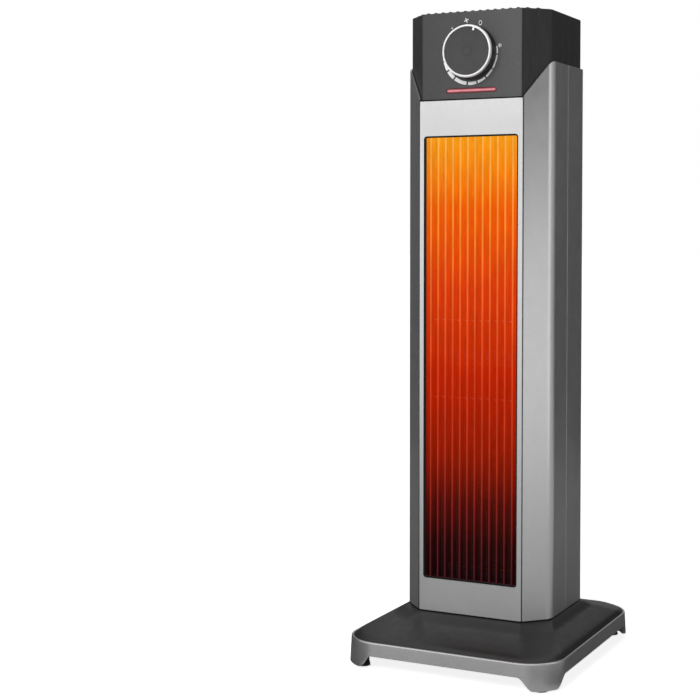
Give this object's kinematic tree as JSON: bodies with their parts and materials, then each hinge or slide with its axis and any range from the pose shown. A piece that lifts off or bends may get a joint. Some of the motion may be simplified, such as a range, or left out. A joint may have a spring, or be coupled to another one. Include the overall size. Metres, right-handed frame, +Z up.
{
  "type": "tower fan heater",
  "caption": "Free-standing tower fan heater with chamfered silver housing, vertical louvre grille, dark control head with rotary knob, and a low domed base on feet.",
  "frame": {"origin": "centre of the base outline on the floor plane", "axes": "+Z up the tower, -Y out of the air outlet and the knob, +X to the viewer's right when facing the front"},
  "size_m": [0.2116, 0.2456, 0.61],
  "materials": {
    "tower_silver": "satin silver paint",
    "skirt_silver": "satin silver paint, darker",
    "head_charcoal": "fine texture",
    "base_dark": "satin",
    "grille_black": "satin",
    "inner_black": "satin",
    "knob_black": "satin",
    "knob_white": "satin white",
    "lens_red": "translucent red",
    "lamp_glass": "clear",
    "element_metal": "glowing fins",
    "carrier_grey": "moulded resin",
    "duct_grey": "moulded",
    "wheel_grey": "moulded",
    "steel": "plain",
    "bearing_bronze": "sintered",
    "motor_steel": "zinc plated",
    "rubber_black": "matte",
    "switch_cream": "moulded resin",
    "plunger_grey": "moulded",
    "lead_red": "silicone"
  },
  "bodies": {
    "heater": {"base_skirt": "skirt_silver", "base_plate": "base_dark", "tip_switch_housing": "inner_black", "tower_floor": "inner_black", "front_housing": "tower_silver", "rear_housing": "tower_silver", "front_grille": "grille_black", "cord_gland": "rubber_black", "control_head": "head_charcoal", "rotary_switch": "switch_cream", "indicator_lens": "lens_red", "indicator_lamp": "lamp_glass", "air_duct": "duct_grey", "upper_bearing": "bearing_bronze", "fan_motor": "motor_steel", "heater_carrier": "carrier_grey", "heating_element_lower": "element_metal", "heating_element_upper": "element_metal", "thermal_cutout": "steel", "terminal_block": "switch_cream", "control_lead_live": "lead_red", "control_lead_neutral": "lead_red", "control_lead_heater": "lead_red", "foot_pad_rear_right": "rubber_black", "base_screw_rear_right": "steel", "foot_pad_rear_left": "rubber_black", "base_screw_rear_left": "steel", "foot_pad_front_left": "rubber_black", "base_screw_front_left": "steel", "foot_pad_front_right": "rubber_black", "base_screw_front_right": "steel", "housing_screw_lower_left": "steel", "housing_screw_lower_right": "steel", "housing_screw_middle_left": "steel", "housing_screw_middle_right": "steel", "housing_screw_upper_left": "steel", "housing_screw_upper_right": "steel"},
    "knob": {"control_knob": "knob_black", "knob_ring": "knob_white", "knob_shaft": "steel"},
    "blower": {"blower_wheel": "wheel_grey", "blower_shaft": "steel"},
    "plunger": {"tip_switch_plunger": "plunger_grey"}
  },
  "joints": [
    {"name": "knob_turn", "type": "hinge", "parent": "heater", "child": "knob", "pos_m": [0, -0.0568, 0.5712], "axis": [0, 1, 0], "range_deg": [0, 331]},
    {"name": "blower_spin", "type": "hinge", "parent": "heater", "child": "blower", "pos_m": [0, 0.02, 0.08], "axis": [0, 0, 1], "continuous": true},
    {"name": "plunger_slide", "type": "slide", "parent": "heater", "child": "plunger", "axis": [0, 0, -1], "range_m": [0, 0.005], "stiffness_N_per_m": 150, "springref_m": 0.01}
  ]
}
